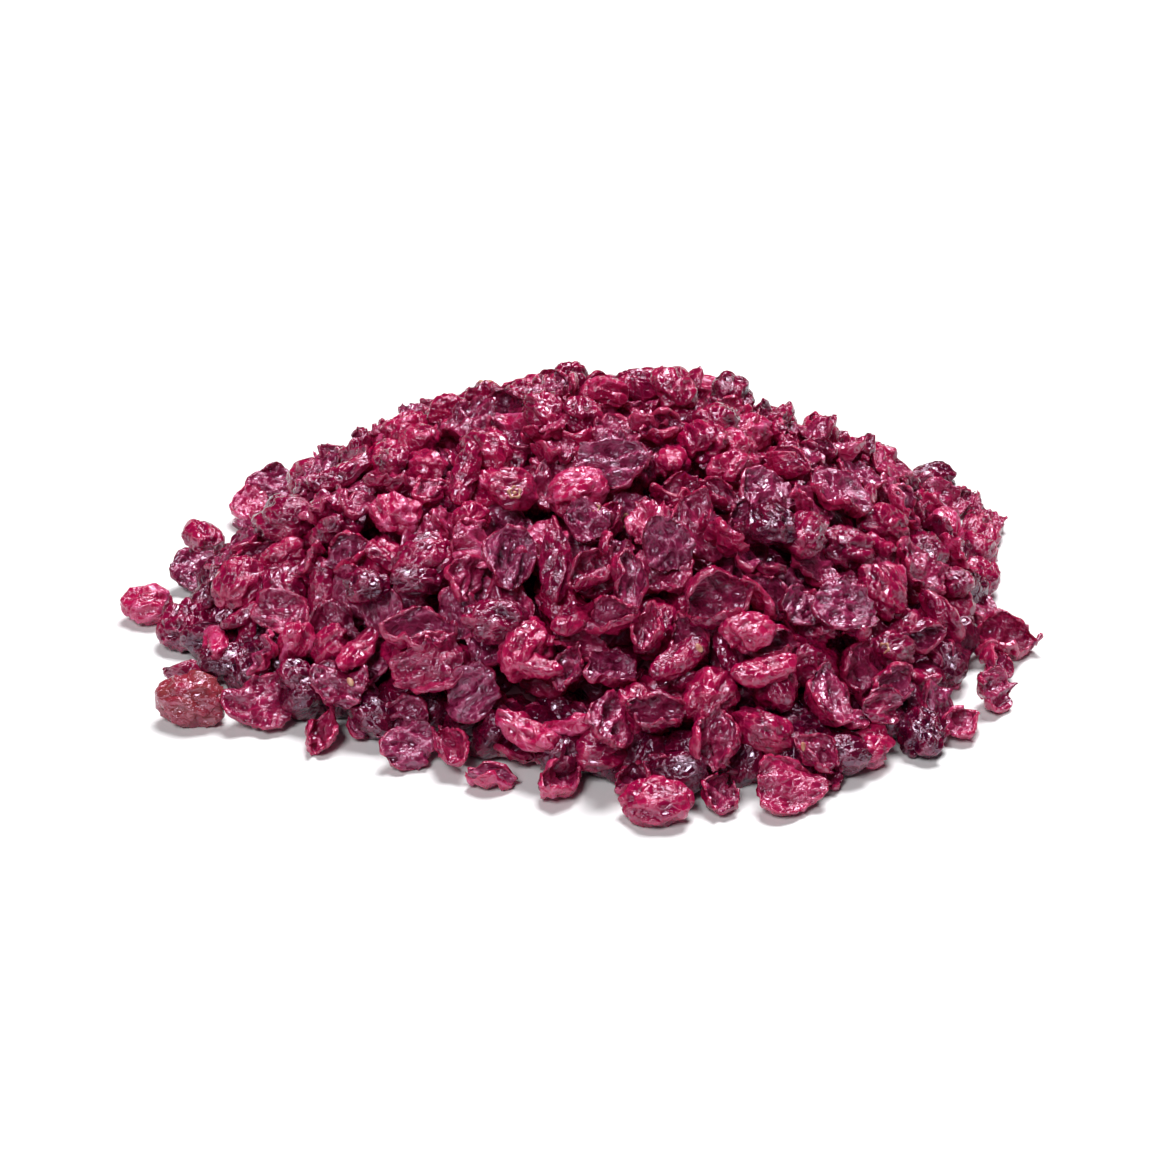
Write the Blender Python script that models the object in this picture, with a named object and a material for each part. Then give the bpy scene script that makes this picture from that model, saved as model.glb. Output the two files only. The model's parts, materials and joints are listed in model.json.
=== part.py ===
"""A heap of dried cranberries as it lies on a flat surface, about 200 mm across and 50 mm high.

The dried berries are 9 to 16 mm long. Some are whole and wrinkled, most are
cut halves that dried into shallow cups, folded flaps or narrow curls. The heap
is one solid: a core, which stands for the packed berries that don't show, and
the largest of the berries that do show, fused on it. It stands on the core's
flat underside at Z = 0. +X is to the right and -Y is the heap's front, where
the outermost berries lie apart.
"""

import math

import bmesh
import bpy
import numpy as np

MM = 0.001
SEED = 7

# The heap: its reach over the floor, its height, and how square its shoulder is.
HEAP_REACH = 93 * MM
HEAP_HEIGHT = 44 * MM
SHOULDER_POWER = 2.5
# Bulges of the reach: how many round the heap, size, direction of one of them.
BULGES = (
    (1, 6.5 * MM, math.radians(33)),
    (2, 1.7 * MM, math.radians(-24)),
    (3, 3.4 * MM, math.radians(-52)),
    (4, 3.4 * MM, math.radians(26)),
)
PACKED_DEPTH = 20 * MM  # from the heap's form down to the first berries laid

# The berries: long side, and each kind's share of the heap, width and
# thickness as shares of the long side.
SHORTEST = 9.0 * MM
LONGEST = 16.5 * MM
KINDS = {
    "plump": (0.38, (0.68, 0.88), (0.56, 0.74)),
    "half": (0.34, (0.78, 0.96), (0.36, 0.50)),
    "fold": (0.20, (0.52, 0.74), (0.42, 0.58)),
    "curl": (0.08, (0.32, 0.44), (0.28, 0.38)),
}

# How the berries are laid, one after another, where the heap is short of its form.
CELL = 1.0 * MM  # step of the grid that holds the heap's height so far
FIELD = 126 * MM  # half the side of that grid
NESTLE = 0.16  # share of its half thickness that a berry sinks among those below
PLACES = 16  # places drawn for each berry, of which the shortest one is filled
WAYS = 6  # ways of lying tried for each berry, of which the lowest one is kept
LEAN = 0.36  # radians, spread of a berry's tilt against the slope that it lies on
PROUD = 0.5 * MM  # how far over the form a berry's middle may come to rest
MISSES = 40  # the heap is full when this many berries in a row find no place

# Berries that can be told one by one: place in mm, length in mm, kind, and yaw,
# tilt and roll in degrees. A roll turns the berry's broad side to the front.
# Those round the foot of the heap lie on the floor, and are laid first.
FOOT_BERRIES = (
    (-81, -50, 14.2, "plump", 4, 6, 20),
    (-83, -36, 12.5, "fold", 170, -5, 25),
    (-67, -52, 14.5, "half", 5, 4, 40),
    (-53, -61, 12.0, "fold", 75, -15, 20),
    (-44, -56, 11.5, "half", 60, -20, 45),
    (-35, -69, 11.8, "half", 15, 4, 45),
    (-26, -71, 12.0, "fold", -55, 8, 20),
    (-18, -79, 10.0, "fold", -14, 4, 0),
    (-13, -66, 15.5, "half", 78, -20, 30),
    (-4, -82, 11.5, "fold", 60, -4, 30),
    (4, -75, 13.5, "plump", 10, -6, 20),
    (15, -91, 14.0, "plump", 3, 0, 10),
    (12, -80, 11.0, "fold", 30, 10, 30),
    (22, -76, 12.0, "fold", -20, 8, 30),
    (28, -86, 12.5, "fold", 75, -10, 20),
    (42, -86, 14.5, "half", 20, 6, 35),
    (50, -77, 9.5, "fold", 100, -30, 20),
    (57, -69, 13.0, "plump", 20, 0, 20),
    (70, -63, 13.0, "plump", -70, 6, 20),
    (79, -57, 10.5, "fold", 40, 0, 30),
    (87, -44, 11.5, "half", 60, 0, 50),
    (89, -32, 12.0, "fold", 80, 0, 30),
    (92, -21, 16.0, "fold", 12, 6, 30),
    (88, -6, 12.0, "half", 100, 0, 30),
    (89, 8, 12.0, "plump", 60, 0, 10),
    (91, 24, 12.5, "plump", 100, 0, 10),
    (96, 43, 12.0, "half", 100, 0, 20),
    (92, 54, 12.0, "fold", 60, 0, 30),
    (84, 63, 12.5, "plump", 30, 0, 10),
    (-96, -4, 11.0, "plump", 8, 0, 10),
    (-86, -15, 14.0, "plump", 80, 0, 10),
    (-87, 13, 12.8, "half", 40, 0, 30),
    (-87, 30, 12.0, "plump", 110, 0, 20),
    (-78, 49, 12.0, "half", 60, 0, 25),
    (-74, 60, 12.0, "half", 20, 0, 30),
    (-62, 73, 12.5, "fold", 120, -15, 10),
)
# Those on the slopes lie on the others, and are laid last.
SLOPE_BERRIES = (
    (21, 22, 13.0, "plump", 80, 0, 10),
    (-24, -46, 10.8, "half", 70, -30, 62),
    (-44, -42, 9.0, "plump", 10, 0, 10),
    (-34, -44, 10.5, "plump", 20, 0, 10),
    (-15, -45, 13.5, "half", 84, -48, 24),
    (-5, -48, 16.0, "curl", 88, -40, 0),
    (-46, -51, 12.5, "curl", 58, -16, 10),
    (-33, -54, 15.5, "fold", 4, 0, 30),
    (-31, -59, 15.5, "half", -6, 0, 48),
    (-17, -57, 13.5, "plump", 2, 0, 20),
    (-9, -65, 12.5, "curl", -26, 10, 0),
    (2, -51, 13.5, "fold", 50, -20, 20),
    (10, -54, 13.5, "fold", 100, -44, 10),
    (6, -77, 14.0, "half", 84, -20, 50),
    (28, -57, 16.0, "fold", 32, -8, 50),
    (34, -63, 11.5, "plump", 30, 0, 20),
    (37, -69, 14.5, "curl", 24, 0, 20),
    (54, -49, 13.5, "half", 16, 0, 44),
    (47, -33, 12.0, "plump", 60, -10, 20),
    (18, -45, 11.5, "half", 90, -60, 10),
    (29, -40, 12.5, "half", 130, -20, 50),
    (7, -22, 16.0, "half", -10, 0, 30),
    (40, -34, 12.5, "plump", 100, 0, 20),
    (18, -1, 11.5, "fold", 20, 0, 30),
    (57, 57, 12.5, "fold", 110, -50, 0),
    (68, 49, 14.0, "curl", -30, 0, 10),
    (93, 36, 11.5, "plump", 60, 0, 10),
    (85, 46, 13.0, "half", 20, 0, 30),
)
SLOPE_ROOM = 0.5  # share of its thickness left free for a berry laid last
SLOPE_PROUD = 0.7  # share of its half thickness that its middle may come to rest over the form

# The solid.
BERRY_SIDES = 6
BERRY_RINGS = 2
LEAST_SEEN = 30  # mm2 of the heap's surface that a berry makes, to be fused on the core
BERRY_APART = 9.7 * MM  # least distance between the middles of fused berries
FLOOR_GAP = 0.3 * MM  # under the berries, so that the core's flat underside carries
CORE_RINGS = 10
CORE_SINK = 0.9 * MM  # from the middles of the berries round about down to the core
CORE_BLUR = 5 * MM  # how far round about
PRESSED = 0.45  # share of its half thickness that a berry's middle may be over the core
CORE_EDGE = 2.2 * MM  # height of the core at its edge
MOST_REACH = 1.12  # the core's edge is looked for from here in, as a share of the reach
BERRY_FOOT = 2 * MM  # the heap ends where it is lower than this
CORE_INSET = 3.5 * MM  # from the heap's end in to the core's edge
CORE_LOOKS = (-0.035, 0, 0.035)  # radians, to the sides of the way to a point of that edge
CORE_CORNER = 6 * MM  # how far a point of that edge may jut out past its neighbours

CRIMSON = (0.19, 0.012, 0.035, 1.0)


def reach(angle):
    """How far the heap reaches from its middle in a direction, 0 along +X."""
    return HEAP_REACH + sum(size * np.cos(n * (angle - way)) for n, size, way in BULGES)


def heap_form(x, y):
    """Height of the heap's smooth form, 0 outside its reach."""
    out = np.hypot(x, y) / reach(np.arctan2(y, x))
    return HEAP_HEIGHT * (1 - np.clip(out, 0, 1) ** SHOULDER_POWER)


def turn_matrix(yaw, tilt, roll):
    """Columns: where a berry's length, width and thickness point."""
    cy, sy = math.cos(yaw), math.sin(yaw)
    ct, st = math.cos(tilt), math.sin(tilt)
    cr, sr = math.cos(roll), math.sin(roll)
    about_z = np.array([[cy, -sy, 0], [sy, cy, 0], [0, 0, 1]])
    about_y = np.array([[ct, 0, st], [0, 1, 0], [-st, 0, ct]])
    about_x = np.array([[1, 0, 0], [0, cr, -sr], [0, sr, cr]])
    return about_z @ about_y @ about_x


class Heap:
    """The height of the heap so far on a grid, and the berries that make it."""

    def __init__(self):
        line = np.arange(-FIELD, FIELD + CELL / 2, CELL)
        self.x, self.y = np.meshgrid(line, line, indexing="ij")
        self.form = heap_form(self.x, self.y)
        self.height = np.maximum(self.form - PACKED_DEPTH, 0)
        self.owner = np.full(self.height.shape, -1)
        self.berries = []

    def around(self, x, y, out):
        """The grid's cells within a distance of a place."""
        i, j = (int(round((v + FIELD) / CELL)) for v in (x, y))
        n = int(math.ceil(out / CELL))
        return slice(i - n, i + n + 1), slice(j - n, j + n + 1)

    def short(self, x, y):
        """How far the heap falls short of its form near a place."""
        near = self.around(x, y, 3 * MM)
        return (self.form[near] - self.height[near]).mean()

    def lean(self, x, y):
        """The turn that lays a level thing along the heap's form at a place."""
        near = heap_form(self.x, self.y)[self.around(x, y, 6 * MM)]
        rise_x = math.atan2(near[-1].mean() - near[0].mean(), 12 * MM)
        rise_y = math.atan2(near[:, -1].mean() - near[:, 0].mean(), 12 * MM)
        return turn_matrix(0, -rise_x, 0) @ turn_matrix(0, 0, rise_y)

    def rest(self, x, y, half, turn):
        """How high a berry's middle comes to rest, and the surface that it makes."""
        oval = turn @ np.diag(1 / half**2) @ turn.T
        near = self.around(x, y, half.max())
        dx, dy = self.x[near] - x, self.y[near] - y
        b = oval[0, 2] * dx + oval[1, 2] * dy
        c = oval[0, 0] * dx**2 + 2 * oval[0, 1] * dx * dy + oval[1, 1] * dy**2 - 1
        root = b**2 - oval[2, 2] * c
        under = root > 0
        root = np.sqrt(np.where(under, root, 0))
        low, high = (-b - root) / oval[2, 2], (-b + root) / oval[2, 2]
        lift = np.where(under, self.height[near] - low, -1).max()
        lowest = math.sqrt(((turn[2] * half) ** 2).sum())
        return max(lift - NESTLE * half[2], lowest), near, under, high

    def lay(self, x, y, half, turn, kind, most=math.inf):
        """Sets a berry down at a place, its middle no higher than a limit."""
        z, near, under, high = self.rest(x, y, half, turn)
        z = min(z, most)
        top = np.where(under, z + high, -1)
        above = top > self.height[near]
        self.height[near] = np.where(above, top, self.height[near])
        self.owner[near] = np.where(above, len(self.berries), self.owner[near])
        at = np.array([x, y, z])
        self.berries.append({"at": at, "half": half, "turn": turn, "kind": kind})


def half_sizes(kind, length, draws):
    """Half the length, width and thickness of a berry of a kind."""
    width, thickness = (draws.uniform(*span) for span in KINDS[kind][1:])
    return np.array([1, width, thickness]) * length / 2


def told_apart(rows, draws):
    """The berries of a table above, as place, half sizes, turn and kind."""
    for x, y, length, kind, yaw, tilt, roll in rows:
        turn = turn_matrix(*(math.radians(v) for v in (yaw, tilt, roll)))
        yield x * MM, y * MM, half_sizes(kind, length * MM, draws), turn, kind


def pile_berries():
    """The whole heap, berry by berry."""
    draws = np.random.default_rng(SEED)
    heap = Heap()
    for foot in told_apart(FOOT_BERRIES, draws):
        heap.lay(*foot)
    slope_berries = list(told_apart(SLOPE_BERRIES, draws))
    whole = heap.form.copy()
    for x, y, half, _, _ in slope_berries:
        near = heap.around(x, y, half[1])
        room = whole[near] - 2 * half[2] * SLOPE_ROOM
        heap.form[near] = np.minimum(heap.form[near], room)
    kinds = list(KINDS)
    shares = [KINDS[kind][0] for kind in kinds]
    misses = 0
    while misses < MISSES:
        way = draws.uniform(-math.pi, math.pi, PLACES)
        out = np.sqrt(draws.uniform(0, 1, PLACES)) * reach(way)
        places = list(zip(out * np.cos(way), out * np.sin(way)))
        x, y = max(places, key=lambda place: heap.short(*place))
        kind = kinds[draws.choice(len(kinds), p=shares)]
        length = SHORTEST + (LONGEST - SHORTEST) * draws.beta(2.0, 2.4)
        half = half_sizes(kind, length, draws)
        slope = heap.lean(x, y)
        turns = []
        for _ in range(WAYS):
            yaw = draws.uniform(-math.pi, math.pi)
            turns.append(slope @ turn_matrix(yaw, *draws.normal(0, LEAN, 2)))
        turn = min(turns, key=lambda turn: heap.rest(x, y, half, turn)[0])
        if heap.rest(x, y, half, turn)[0] < heap.form[heap.around(x, y, 0)] + PROUD:
            heap.lay(x, y, half, turn, kind)
            misses = 0
        else:
            misses += 1
    for x, y, half, turn, kind in slope_berries:
        most = whole[heap.around(x, y, 0)].item() + half[2] * SLOPE_PROUD
        heap.lay(x, y, half, turn, kind, most)
    return heap


def bowl(points, draws, hollow):
    """A ball turned into a cut berry: the skin below, the cut face hollow above."""
    x, y, z = points.T
    out = np.hypot(x, y)
    way = np.arctan2(y, x)
    lip = 0.9 * z * np.exp(-((z / 0.3) ** 2))
    z = np.where(z < 0, z, lip - hollow * z)
    first, second, third, fourth = draws.uniform(-math.pi, math.pi, 4)
    z = z + out**3 * (0.24 * np.sin(2 * way + first) + 0.12 * np.sin(3 * way + second))
    rim = 1 + 0.10 * np.sin(2 * way + third) + 0.08 * np.sin(3 * way + fourth)
    return np.stack([x * rim, y * rim, z], axis=1)


def bent(points, amount):
    """Bent upwards along its length."""
    x, y, z = points.T
    arm = 1 / amount - z
    return np.stack([arm * np.sin(amount * x), y, 1 / amount - arm * np.cos(amount * x)], 1)


def plump_form(points, draws):
    """A whole berry, uneven and pressed in from a few sides."""
    for _ in range(4):
        way = draws.normal(size=3)
        near = ((points - way / np.linalg.norm(way)) ** 2).sum(axis=1)
        points = points * (1 - draws.uniform(0.12, 0.34) * np.exp(-near / 0.4))[:, None]
    return points


def half_form(points, draws):
    """A cut half, dried into a shallow wavy cup."""
    return bowl(points, draws, draws.uniform(0.1, 0.55))


def fold_form(points, draws):
    """A cut half folded up along its length, with pointed ends."""
    x, y, z = bowl(points, draws, 0.7).T
    blunt, sharp = draws.uniform(0.15, 0.5), draws.uniform(0.45, 0.8)
    y = y * (1 - np.where(x > 0, sharp, blunt) * np.abs(x) ** 1.6)
    across = bent(np.stack([y, x, z * 0.6], axis=1), draws.uniform(0.9, 1.5))
    return bent(across[:, [1, 0, 2]], draws.uniform(-0.5, 0.5))


def curl_form(points, draws):
    """A narrow strip of skin, curled and twisted."""
    x, y, z = points.T
    twist = draws.uniform(-0.9, 0.9) * x
    y, z = y * np.cos(twist) - z * np.sin(twist), y * np.sin(twist) + z * np.cos(twist)
    return bent(np.stack([x, y * 0.5, z * 0.4], axis=1), draws.uniform(0.5, 1.2))


FORMS = {"plump": plump_form, "half": half_form, "fold": fold_form, "curl": curl_form}


def berry_points(berry, ball, number):
    """Points of a unit ball brought to the form, size and place of a berry."""
    points = FORMS[berry["kind"]](ball, np.random.default_rng([SEED, number]))
    low, high = points.min(axis=0), points.max(axis=0)
    points = (2 * points - low - high) / (high - low)
    points = (points * berry["half"]) @ berry["turn"].T + berry["at"]
    points[:, 2] = np.maximum(points[:, 2], FLOOR_GAP)
    return points


def band(lower, upper, count, ahead):
    """Faces between two rings of points, the upper one half a step ahead or not."""
    faces = []
    for a in range(count):
        b = (a + 1) % count
        if ahead:
            faces += [(lower + a, lower + b, upper + a), (lower + b, upper + b, upper + a)]
        else:
            faces += [(lower + a, upper + b, upper + a), (lower + a, lower + b, upper + b)]
    return faces


def stagger(ring):
    """How far round a ring is turned, in steps, so that its faces are even triangles."""
    return 0.5 * (ring % 2)


def ball_mesh():
    """Points and faces of a unit ball with few sides, its poles along Z."""
    points = []
    faces = []
    for ring in range(BERRY_RINGS):
        down = math.pi * (ring + 1) / (BERRY_RINGS + 1)
        for side in range(BERRY_SIDES):
            way = 2 * math.pi * (side + stagger(ring)) / BERRY_SIDES
            out = math.sin(down)
            points.append((out * math.cos(way), out * math.sin(way), -math.cos(down)))
    for ring in range(BERRY_RINGS - 1):
        lower = ring * BERRY_SIDES
        faces += band(lower, lower + BERRY_SIDES, BERRY_SIDES, ring % 2 == 0)
    last = len(points) - BERRY_SIDES
    bottom, top = len(points), len(points) + 1
    points += [(0, 0, -1), (0, 0, 1)]
    for side in range(BERRY_SIDES):
        after = (side + 1) % BERRY_SIDES
        faces += [(bottom, after, side), (top, last + side, last + after)]
    return np.array(points, float), faces


def berries_to_fuse(heap):
    """Numbers of the berries told apart, and of the most shown others, spread evenly."""
    surface = np.hypot(np.hypot(*np.gradient(heap.form, CELL)), 1) * (CELL / MM) ** 2
    shown = heap.owner >= 0
    seen = np.bincount(heap.owner[shown], surface[shown], len(heap.berries))
    last_laid = len(heap.berries) - len(SLOPE_BERRIES)
    chosen = [*range(len(FOOT_BERRIES)), *range(last_laid, len(heap.berries))]
    places = np.array([berry["at"] for berry in heap.berries])
    for number in np.argsort(-seen):
        apart = np.linalg.norm(places[chosen] - places[number], axis=1).min()
        if seen[number] >= LEAST_SEEN and apart >= BERRY_APART:
            chosen.append(number)
    return chosen


def core_top(middles, x, y):
    """Height of the core at a place, from the middles of the berries round about."""
    away = np.hypot(middles[:, 0] - x, middles[:, 1] - y) / CORE_BLUR
    near = np.exp(-(away**2) / 2)
    return max((near * middles[:, 2]).sum() / near.sum() - CORE_SINK, CORE_EDGE)


def core_mesh(heap, middles):
    """The core: a mound through the berries' middles, with a flat underside at Z = 0.

    Its points lie on rings round the middle, 6 on the first, 12 on the second
    and so on, so that its faces are even triangles.
    """

    def height(x, y):
        return heap.height[heap.around(x, y, 2 * MM)].mean()

    def core_end(way):
        """How far out the core's edge is in a direction."""
        out = reach(way) * MOST_REACH
        while height(out * math.cos(way), out * math.sin(way)) < BERRY_FOOT:
            out -= CELL
        return out - CORE_INSET

    sides = 6 * CORE_RINGS
    ways = 2 * math.pi * np.arange(sides) / sides
    ends = np.array([max(core_end(way + aside) for aside in CORE_LOOKS) for way in ways])
    beside = np.maximum(np.roll(ends, 1), np.roll(ends, -1))
    ends = np.minimum(ends, beside + CORE_CORNER)
    points = [(0, 0, core_top(middles, 0, 0))]
    rings = [[0]]
    for ring in range(1, CORE_RINGS + 1):
        rings.append([])
        for step in range(6 * ring):
            turn = step / (6 * ring)
            end = np.interp(turn * sides, range(sides + 1), [*ends, ends[0]])
            out = end * ring / CORE_RINGS
            x, y = out * math.cos(2 * math.pi * turn), out * math.sin(2 * math.pi * turn)
            rings[ring].append(len(points))
            points.append((x, y, core_top(middles, x, y)))
    faces = []
    for ring in range(1, CORE_RINGS + 1):
        inner, outer = rings[ring - 1], rings[ring]
        for side in range(6):
            for step in range(ring):
                a = side * ring + step
                b = (a + 1) % len(outer)
                c = (side * (ring - 1) + step) % len(inner)
                d = (c + 1) % len(inner)
                faces.append((outer[a], outer[b], inner[c]))
                if step < ring - 1:
                    faces.append((inner[c], outer[b], inner[d]))
    rim = rings[-1]
    foot = [len(points) + step for step in range(len(rim))]
    points += [(points[number][0], points[number][1], 0) for number in rim]
    for step in range(len(rim)):
        after = (step + 1) % len(rim)
        faces.append((foot[step], foot[after], rim[after], rim[step]))
    faces.append(tuple(reversed(foot)))
    return points, faces


def add_object(name, points, faces, collection):
    mesh = bpy.data.meshes.new(name)
    mesh.from_pydata([tuple(point) for point in points], [], faces)
    thing = bpy.data.objects.new(name, mesh)
    collection.objects.link(thing)
    return thing


def fused(core, berries):
    """One mesh of the core and all the berries in a collection."""
    union = core.modifiers.new("union", "BOOLEAN")
    union.operation = "UNION"
    union.solver = "MANIFOLD"
    union.operand_type = "COLLECTION"
    union.collection = berries
    graph = bpy.context.evaluated_depsgraph_get()
    mesh = bpy.data.meshes.new_from_object(core.evaluated_get(graph))
    core.modifiers.remove(union)
    return mesh


def drop_scraps(mesh):
    """Keeps the largest piece of a mesh that hangs together by its edges, as triangles."""
    shape = bmesh.new()
    shape.from_mesh(mesh)
    bmesh.ops.triangulate(shape, faces=shape.faces[:])
    unseen = set(shape.faces)
    pieces = []
    while unseen:
        fresh = [unseen.pop()]
        piece = list(fresh)
        while fresh:
            face = fresh.pop()
            beside = {other for edge in face.edges for other in edge.link_faces}
            found = list(beside & unseen)
            unseen.difference_update(found)
            piece += found
            fresh += found
        pieces.append(piece)
    pieces.sort(key=len)
    for piece in pieces[:-1]:
        bmesh.ops.delete(shape, geom=piece, context="FACES")
    print(len(pieces) - 1, "scraps dropped,", len(shape.faces), "faces kept")
    shape.to_mesh(mesh)
    shape.free()


def fruit_material():
    material = bpy.data.materials.new("dried_cranberry")
    material.use_nodes = True
    skin = material.node_tree.nodes["Principled BSDF"]
    skin.inputs["Base Color"].default_value = CRIMSON
    skin.inputs["Roughness"].default_value = 0.4
    return material


def build_heap():
    scene = bpy.context.scene.collection
    heap = pile_berries()
    ball, ball_faces = ball_mesh()
    berries = bpy.data.collections.new("berries")
    scene.children.link(berries)
    chosen = berries_to_fuse(heap)
    middles = np.array([heap.berries[number]["at"] for number in chosen])
    for number in chosen:
        berry = heap.berries[number]
        x, y, z = berry["at"]
        most = core_top(middles, x, y) + berry["half"][2] * PRESSED
        berry["at"] = np.array([x, y, min(z, most)])
        points = berry_points(berry, ball, number)
        add_object(f"berry_{number}", points, ball_faces, berries)
    print(len(heap.berries), "berries laid,", len(berries.objects), "fused on the core")
    core = add_object("cranberry_heap", *core_mesh(heap, middles), scene)
    core.data = fused(core, berries)
    drop_scraps(core.data)
    for berry in list(berries.objects):
        bpy.data.objects.remove(berry)
    bpy.data.collections.remove(berries)
    core.data.materials.clear()
    core.data.materials.append(fruit_material())


for thing in list(bpy.data.objects):
    bpy.data.objects.remove(thing)
build_heap()
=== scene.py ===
"""A heap of dried cranberries on a pale surface: whole wrinkled berries, cut halves, folds and curls."""

import json
import math

import bmesh
import bpy
import numpy as np
from mathutils import Matrix, Vector

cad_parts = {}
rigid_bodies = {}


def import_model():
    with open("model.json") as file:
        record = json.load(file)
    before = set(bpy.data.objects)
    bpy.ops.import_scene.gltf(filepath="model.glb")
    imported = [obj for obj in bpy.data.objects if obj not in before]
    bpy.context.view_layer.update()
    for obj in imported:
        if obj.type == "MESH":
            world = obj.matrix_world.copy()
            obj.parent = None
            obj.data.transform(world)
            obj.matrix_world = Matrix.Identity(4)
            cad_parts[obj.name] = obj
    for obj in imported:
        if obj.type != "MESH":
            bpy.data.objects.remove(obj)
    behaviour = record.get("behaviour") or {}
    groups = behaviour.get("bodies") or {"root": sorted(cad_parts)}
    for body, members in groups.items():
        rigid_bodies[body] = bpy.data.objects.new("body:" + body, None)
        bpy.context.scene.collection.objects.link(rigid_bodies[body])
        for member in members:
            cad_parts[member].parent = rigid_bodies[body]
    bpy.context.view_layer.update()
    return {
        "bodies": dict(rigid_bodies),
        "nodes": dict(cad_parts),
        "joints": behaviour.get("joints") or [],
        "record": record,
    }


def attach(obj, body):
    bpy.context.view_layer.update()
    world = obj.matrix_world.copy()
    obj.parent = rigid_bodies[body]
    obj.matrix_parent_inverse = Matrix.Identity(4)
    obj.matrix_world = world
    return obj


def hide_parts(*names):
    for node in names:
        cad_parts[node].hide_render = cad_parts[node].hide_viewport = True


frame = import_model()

# The heap as it lies: several hundred loose dried cranberries, poured out on a flat
# surface. They are laid one after another where the heap is short of its form, each
# as low as it comes to rest. The solid is made by the same rule, from the same draws.
MM = 0.001
SEED = 7

# The heap: its reach over the floor, its height, and how square its shoulder is.
HEAP_REACH = 93 * MM
HEAP_HEIGHT = 44 * MM
SHOULDER_POWER = 2.5
# Bulges of the reach: how many round the heap, size, direction of one of them.
BULGES = (
    (1, 6.5 * MM, math.radians(33)),
    (2, 1.7 * MM, math.radians(-24)),
    (3, 3.4 * MM, math.radians(-52)),
    (4, 3.4 * MM, math.radians(26)),
)
PACKED_DEPTH = 20 * MM  # from the heap's form down to the first berries laid

# The berries: long side, and each kind's share of the heap, width and
# thickness as shares of the long side.
SHORTEST = 9.0 * MM
LONGEST = 16.5 * MM
KINDS = {
    "plump": (0.38, (0.68, 0.88), (0.56, 0.74)),
    "half": (0.34, (0.78, 0.96), (0.36, 0.50)),
    "fold": (0.20, (0.52, 0.74), (0.42, 0.58)),
    "curl": (0.08, (0.32, 0.44), (0.28, 0.38)),
}

# How the berries are laid, one after another, where the heap is short of its form.
CELL = 1.0 * MM  # step of the grid that holds the heap's height so far
FIELD = 126 * MM  # half the side of that grid
NESTLE = 0.16  # share of its half thickness that a berry sinks among those below
PLACES = 16  # places drawn for each berry, of which the shortest one is filled
WAYS = 6  # ways of lying tried for each berry, of which the lowest one is kept
LEAN = 0.36  # radians, spread of a berry's tilt against the slope that it lies on
PROUD = 0.5 * MM  # how far over the form a berry's middle may come to rest
MISSES = 40  # the heap is full when this many berries in a row find no place

# Berries that can be told one by one: place in mm, length in mm, kind, and yaw,
# tilt and roll in degrees. A roll turns the berry's broad side to the front.
# Those round the foot of the heap lie on the floor, and are laid first.
FOOT_BERRIES = (
    (-81, -50, 14.2, "plump", 4, 6, 20),
    (-83, -36, 12.5, "fold", 170, -5, 25),
    (-67, -52, 14.5, "half", 5, 4, 40),
    (-53, -61, 12.0, "fold", 75, -15, 20),
    (-44, -56, 11.5, "half", 60, -20, 45),
    (-35, -69, 11.8, "half", 15, 4, 45),
    (-26, -71, 12.0, "fold", -55, 8, 20),
    (-18, -79, 10.0, "fold", -14, 4, 0),
    (-13, -66, 15.5, "half", 78, -20, 30),
    (-4, -82, 11.5, "fold", 60, -4, 30),
    (4, -75, 13.5, "plump", 10, -6, 20),
    (15, -91, 14.0, "plump", 3, 0, 10),
    (12, -80, 11.0, "fold", 30, 10, 30),
    (22, -76, 12.0, "fold", -20, 8, 30),
    (28, -86, 12.5, "fold", 75, -10, 20),
    (42, -86, 14.5, "half", 20, 6, 35),
    (50, -77, 9.5, "fold", 100, -30, 20),
    (57, -69, 13.0, "plump", 20, 0, 20),
    (70, -63, 13.0, "plump", -70, 6, 20),
    (79, -57, 10.5, "fold", 40, 0, 30),
    (87, -44, 11.5, "half", 60, 0, 50),
    (89, -32, 12.0, "fold", 80, 0, 30),
    (92, -21, 16.0, "fold", 12, 6, 30),
    (88, -6, 12.0, "half", 100, 0, 30),
    (89, 8, 12.0, "plump", 60, 0, 10),
    (91, 24, 12.5, "plump", 100, 0, 10),
    (96, 43, 12.0, "half", 100, 0, 20),
    (92, 54, 12.0, "fold", 60, 0, 30),
    (84, 63, 12.5, "plump", 30, 0, 10),
    (-96, -4, 11.0, "plump", 8, 0, 10),
    (-86, -15, 14.0, "plump", 80, 0, 10),
    (-87, 13, 12.8, "half", 40, 0, 30),
    (-87, 30, 12.0, "plump", 110, 0, 20),
    (-78, 49, 12.0, "half", 60, 0, 25),
    (-74, 60, 12.0, "half", 20, 0, 30),
    (-62, 73, 12.5, "fold", 120, -15, 10),
)
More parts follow.
